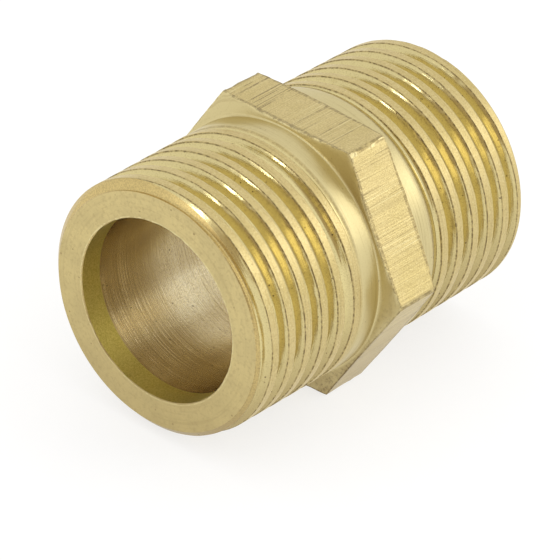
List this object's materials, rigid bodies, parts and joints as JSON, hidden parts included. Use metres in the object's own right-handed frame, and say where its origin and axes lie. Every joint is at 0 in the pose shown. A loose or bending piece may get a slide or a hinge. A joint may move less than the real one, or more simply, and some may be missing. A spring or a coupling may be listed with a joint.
{
  "type": "hex nipple",
  "caption": "Brass pipe nipple with an external parallel pipe thread on each end, a smooth neck behind each thread, a narrow hexagon between them and a plain through bore.",
  "frame": {"origin": "centre of the hexagon, on the axis of the bore, which is also the centre of the bounding box", "axes": "+X along the pipe axis towards the end called right; +Z normal to the hexagon's top flat, so the nipple stands on its bottom flat at z = -10.5 mm; +Y completes the frame and passes through a hexagon corner"},
  "size_m": [0.0304, 0.0242, 0.021],
  "materials": {
    "brass": "bright bare brass as machined: turned threads, necks, faces and bore, with the drawn bar's surface left on the hexagon's flats"
  },
  "bodies": {
    "root": {"nipple_body": "brass"}
  },
  "joints": []
}
